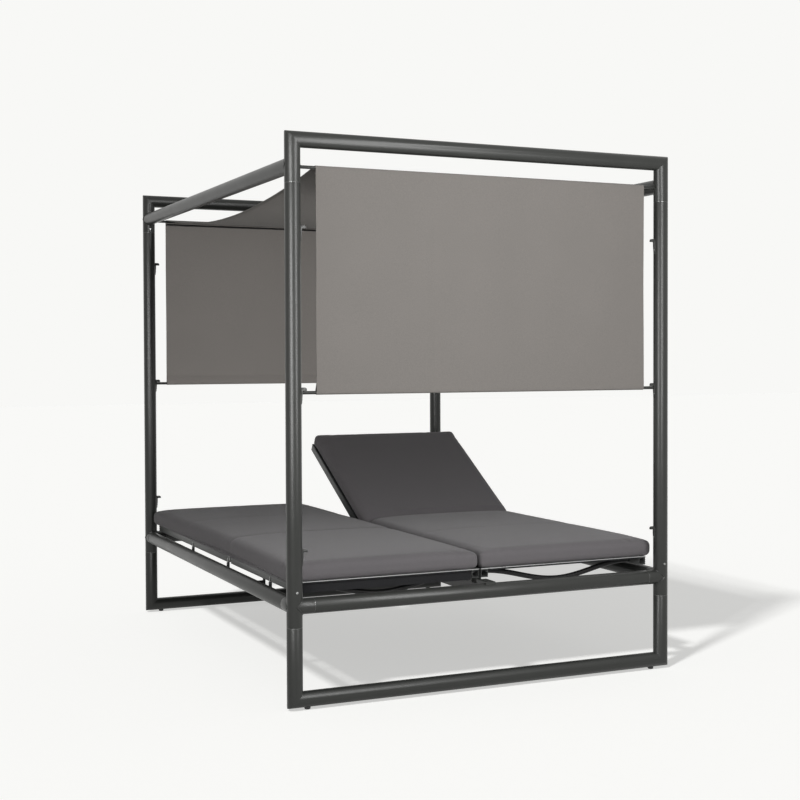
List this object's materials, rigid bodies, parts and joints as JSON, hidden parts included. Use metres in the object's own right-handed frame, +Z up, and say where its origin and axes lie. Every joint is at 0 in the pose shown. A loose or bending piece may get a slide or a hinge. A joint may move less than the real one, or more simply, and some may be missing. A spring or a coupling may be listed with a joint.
{
  "type": "outdoor daybed with canopy",
  "caption": "Four-post tube frame with a cloth canopy and two curtains over a pair of side-by-side reclining loungers with thick mattresses.",
  "frame": {"origin": "centre of the footprint on the floor", "axes": "+X to the right along the front portal, +Y from the front portal to the back one, +Z up"},
  "size_m": [1.576, 2.086, 2],
  "materials": {
    "canopy_frame_coat": "anthracite semi-gloss powder coat",
    "lounger_frame_coat": "grey satin powder coat",
    "canopy_fabric": "warm grey woven outdoor cloth",
    "sling_fabric": "charcoal open-weave sling",
    "mattress_fabric": "charcoal woven outdoor cover",
    "glide_plastic": "black moulded glide",
    "pin_steel": "stainless steel"
  },
  "bodies": {
    "frame": {"back_base_frame": "canopy_frame_coat", "back_bed_rail": "canopy_frame_coat", "back_canopy_rod": "canopy_frame_coat", "back_curtain": "canopy_fabric", "back_left_glide": "glide_plastic", "back_left_post": "canopy_frame_coat", "back_right_glide": "glide_plastic", "back_right_post": "canopy_frame_coat", "back_top_frame": "canopy_frame_coat", "canopy_roof": "canopy_fabric", "central_beam": "canopy_frame_coat", "front_base_frame": "canopy_frame_coat", "front_bed_rail": "canopy_frame_coat", "front_canopy_rod": "canopy_frame_coat", "front_curtain": "canopy_fabric", "front_left_glide": "glide_plastic", "front_left_post": "canopy_frame_coat", "front_right_glide": "glide_plastic", "front_right_post": "canopy_frame_coat", "front_top_frame": "canopy_frame_coat", "left_bed_rail": "canopy_frame_coat", "left_cushion_fold": "mattress_fabric", "left_inner_hinge_pin": "pin_steel", "left_outer_hinge_pin": "pin_steel", "left_seat_cross_tube_1": "lounger_frame_coat", "left_seat_cross_tube_2": "lounger_frame_coat", "left_seat_cross_tube_3": "lounger_frame_coat", "left_seat_cushion": "mattress_fabric", "left_seat_inner_rail": "lounger_frame_coat", "left_seat_outer_rail": "lounger_frame_coat", "left_seat_sling": "sling_fabric", "left_top_rail": "canopy_frame_coat", "right_bed_rail": "canopy_frame_coat", "right_cushion_fold": "mattress_fabric", "right_inner_hinge_pin": "pin_steel", "right_outer_hinge_pin": "pin_steel", "right_seat_cross_tube_1": "lounger_frame_coat", "right_seat_cross_tube_2": "lounger_frame_coat", "right_seat_cross_tube_3": "lounger_frame_coat", "right_seat_cushion": "mattress_fabric", "right_seat_inner_rail": "lounger_frame_coat", "right_seat_outer_rail": "lounger_frame_coat", "right_seat_sling": "sling_fabric", "right_top_rail": "canopy_frame_coat"},
    "right_back": {"right_back_cross_tube_1": "lounger_frame_coat", "right_back_cross_tube_2": "lounger_frame_coat", "right_back_cushion": "mattress_fabric", "right_back_inner_rail": "lounger_frame_coat", "right_back_outer_rail": "lounger_frame_coat", "right_back_sling": "sling_fabric"},
    "right_stay": {"right_stay": "lounger_frame_coat"},
    "left_back": {"left_back_cross_tube_1": "lounger_frame_coat", "left_back_cross_tube_2": "lounger_frame_coat", "left_back_cushion": "mattress_fabric", "left_back_inner_rail": "lounger_frame_coat", "left_back_outer_rail": "lounger_frame_coat", "left_back_sling": "sling_fabric"},
    "left_stay": {"left_stay": "lounger_frame_coat"},
    "front_bar": {"front_hem_bar": "canopy_frame_coat"},
    "back_bar": {"back_hem_bar": "canopy_frame_coat"}
  },
  "joints": [
    {"name": "right_back_hinge", "type": "hinge", "parent": "frame", "child": "right_back", "pos_m": [0.3695, 0.188, 0.413], "axis": [1, 0, 0], "range_deg": [-29, 36], "deforming": ["right_cushion_fold"]},
    {"name": "right_stay_hinge", "type": "hinge", "parent": "frame", "child": "right_stay", "pos_m": [0.371, 0.508, 0.413], "axis": [1, 0, 0], "range_deg": [-58, 72]},
    {"name": "left_back_hinge", "type": "hinge", "parent": "frame", "child": "left_back", "pos_m": [-0.3695, -0.188, 0.413], "axis": [-1, 0, 0], "range_deg": [0, 65], "deforming": ["left_cushion_fold"]},
    {"name": "left_stay_hinge", "type": "hinge", "parent": "frame", "child": "left_stay", "pos_m": [-0.371, -0.508, 0.413], "axis": [-1, 0, 0], "range_deg": [0, 130]},
    {"name": "front_bar_slide", "type": "slide", "parent": "frame", "child": "front_bar", "axis": [0, 0, 1], "range_m": [-0.56, 0.56], "deforming": ["front_curtain"]},
    {"name": "back_bar_slide", "type": "slide", "parent": "frame", "child": "back_bar", "axis": [0, 0, 1], "range_m": [-0.56, 0.56], "deforming": ["back_curtain"]}
  ],
  "couplings": [
    {"joint": "right_stay_hinge", "follows": "right_back_hinge", "ratio": 2},
    {"joint": "left_stay_hinge", "follows": "left_back_hinge", "ratio": 2},
    {"joint": "back_bar_slide", "follows": "front_bar_slide", "ratio": -1}
  ]
}
